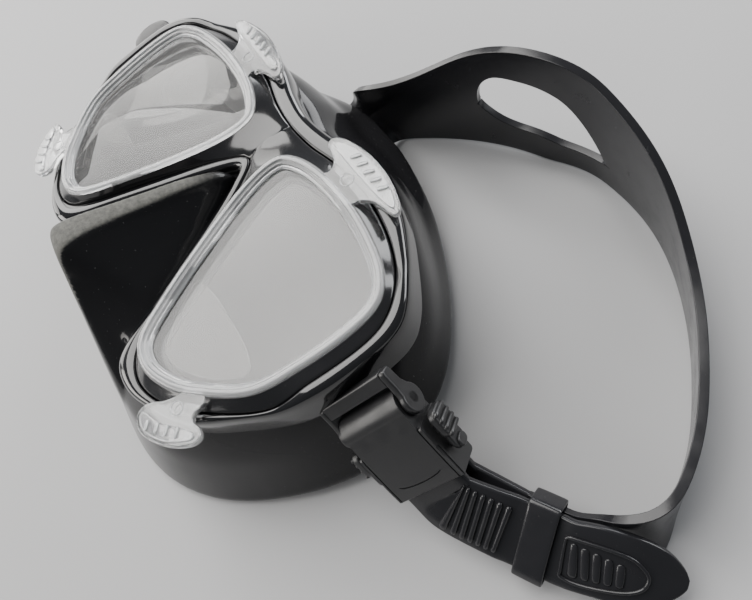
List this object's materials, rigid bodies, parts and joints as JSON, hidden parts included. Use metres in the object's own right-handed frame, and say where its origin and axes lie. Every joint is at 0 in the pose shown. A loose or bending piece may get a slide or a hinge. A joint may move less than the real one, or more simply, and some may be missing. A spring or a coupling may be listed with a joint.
{
  "type": "diving mask",
  "caption": "Two-window diving mask with a black silicone skirt, gloss frame, clear lens retainers, swivelling quick-release buckles and a split head strap.",
  "frame": {"origin": "centre of the face opening on the mask's plane of symmetry, in the plane the skirt rests on", "axes": "+X to the wearer's left, +Y to the forehead, +Z out through the lenses; the mask lies face up with its strap looped beside it"},
  "size_m": [0.3055, 0.1778, 0.0656],
  "materials": {
    "silicone": "glossy moulded silicone",
    "inner_frame": "gloss",
    "frame_cover": "high gloss",
    "strap": "satin silicone",
    "glass": "polished",
    "segment_glass": "polished",
    "clear_plastic": "clear, polished",
    "satin_plastic": "satin",
    "steel": "satin"
  },
  "bodies": {
    "mask": {"skirt": "silicone", "main_frame": "inner_frame", "frame_cover": "frame_cover", "strap": "strap", "left_lens": "glass", "left_lens_retainer": "clear_plastic", "left_reading_segment": "segment_glass", "left_buckle_mount": "satin_plastic", "left_hinge_pin": "steel", "left_strap_tail": "strap", "right_lens": "glass", "right_lens_retainer": "clear_plastic", "right_reading_segment": "segment_glass", "right_buckle_mount": "satin_plastic", "right_hinge_pin": "steel", "right_strap_tail": "strap"},
    "left_buckle": {"left_buckle_body": "satin_plastic", "left_strap_bar": "satin_plastic", "left_strap_bend": "strap"},
    "left_pawl": {"left_latch_pawl": "satin_plastic"},
    "left_upper_release": {"left_upper_button": "satin_plastic"},
    "left_lower_release": {"left_lower_button": "satin_plastic"},
    "left_keeper_loop": {"left_keeper": "strap"},
    "right_buckle": {"right_buckle_body": "satin_plastic", "right_strap_bar": "satin_plastic", "right_strap_bend": "strap"},
    "right_pawl": {"right_latch_pawl": "satin_plastic"},
    "right_upper_release": {"right_upper_button": "satin_plastic"},
    "right_lower_release": {"right_lower_button": "satin_plastic"},
    "right_keeper_loop": {"right_keeper": "strap"}
  },
  "joints": [
    {"name": "left_buckle_swivel", "type": "hinge", "parent": "mask", "child": "left_buckle", "pos_m": [0.09, 0.009, 0.032], "axis": [0.281, 0.8532, 0.4394], "range_deg": [-35, 12]},
    {"name": "left_upper_press", "type": "slide", "parent": "left_buckle", "child": "left_upper_release", "axis": [-0.281, -0.8532, -0.4394], "range_m": [0, 0.0012], "stiffness_N_per_m": 800, "springref_m": -0.0004},
    {"name": "left_lower_press", "type": "slide", "parent": "left_buckle", "child": "left_lower_release", "axis": [0.281, 0.8532, 0.4394], "range_m": [0, 0.0012], "stiffness_N_per_m": 800, "springref_m": -0.0004},
    {"name": "left_pawl_drop", "type": "slide", "parent": "left_buckle", "child": "left_pawl", "axis": [-0.5836, 0.5154, -0.6275], "range_m": [0, 0.00065]},
    {"name": "right_buckle_swivel", "type": "hinge", "parent": "mask", "child": "right_buckle", "pos_m": [-0.09, 0.009, 0.032], "axis": [-0.0484, -0.9966, -0.0668], "range_deg": [-35, 12]},
    {"name": "right_upper_press", "type": "slide", "parent": "right_buckle", "child": "right_upper_release", "axis": [-0.0484, -0.9966, -0.0668], "range_m": [0, 0.0012], "stiffness_N_per_m": 800, "springref_m": -0.0004},
    {"name": "right_lower_press", "type": "slide", "parent": "right_buckle", "child": "right_lower_release", "axis": [0.0484, 0.9966, 0.0668], "range_m": [0, 0.0012], "stiffness_N_per_m": 800, "springref_m": -0.0004},
    {"name": "right_pawl_drop", "type": "slide", "parent": "right_buckle", "child": "right_pawl", "axis": [0.6459, 0.0197, -0.7631], "range_m": [0, 0.00065]},
    {"name": "left_keeper_slide", "type": "slide", "parent": "mask", "child": "left_keeper_loop", "axis": [0.8572, 0.515, 0], "range_m": [-0.001, 0.002]},
    {"name": "right_keeper_slide", "type": "slide", "parent": "mask", "child": "right_keeper_loop", "axis": [-1, 0, 0], "range_m": [-0.0005, 0.003]}
  ],
  "couplings": [
    {"joint": "left_pawl_drop", "follows": "left_upper_press", "ratio": 0.5},
    {"joint": "right_pawl_drop", "follows": "right_upper_press", "ratio": 0.5}
  ]
}
